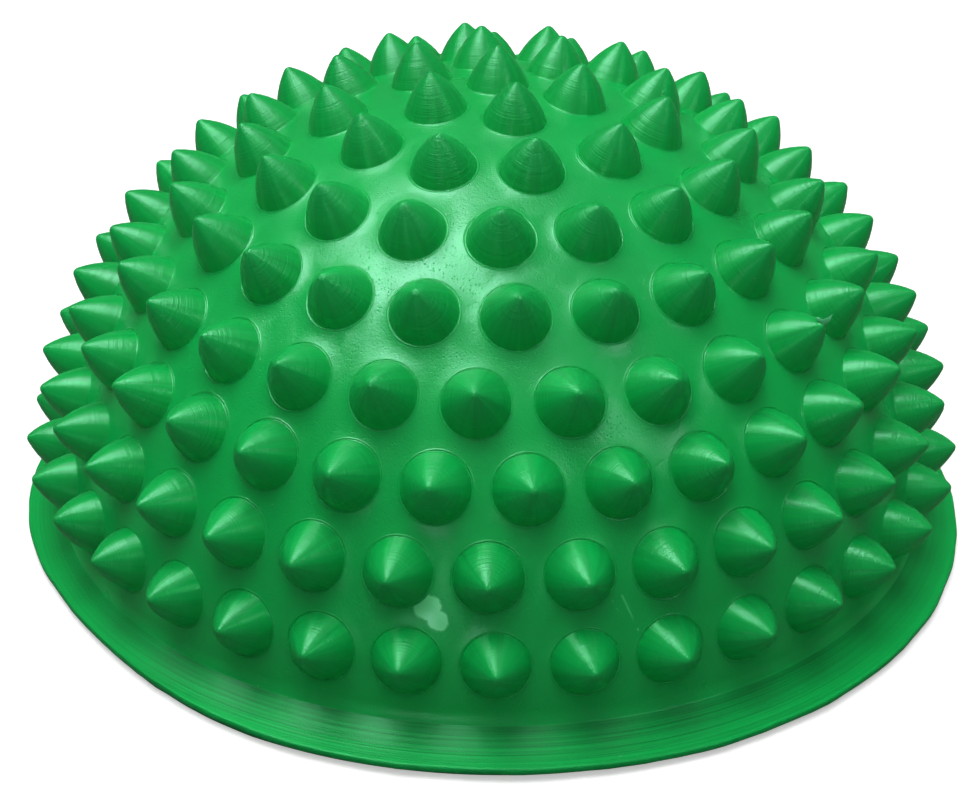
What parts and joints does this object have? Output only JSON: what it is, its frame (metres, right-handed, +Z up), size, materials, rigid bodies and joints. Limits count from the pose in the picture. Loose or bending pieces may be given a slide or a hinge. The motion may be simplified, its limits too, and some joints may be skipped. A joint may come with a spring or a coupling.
{
  "type": "balance pad",
  "caption": "Inflatable soft half ball covered in blunt cones, to stand on for balance training and foot massage, with a flat sole and a plugged valve underneath.",
  "frame": {"origin": "centre of the sole's resting face, on the floor", "axes": "+Z up through the crown of the dome, -Y the pad's front, +X to the right seen from the front"},
  "size_m": [0.16, 0.16, 0.08],
  "materials": {
    "soft_pvc": "satin",
    "sole_pvc": "satin",
    "valve_rubber": "matte",
    "plug_plastic": "satin"
  },
  "bodies": {
    "pad": {"dome_shell": "soft_pvc", "base_plate": "sole_pvc", "valve_body": "valve_rubber"},
    "plug": {"valve_plug": "plug_plastic"}
  },
  "joints": [
    {"name": "plug_pull", "type": "slide", "parent": "pad", "child": "plug", "axis": [0, 0, -1], "range_m": [0, 0.012]}
  ]
}
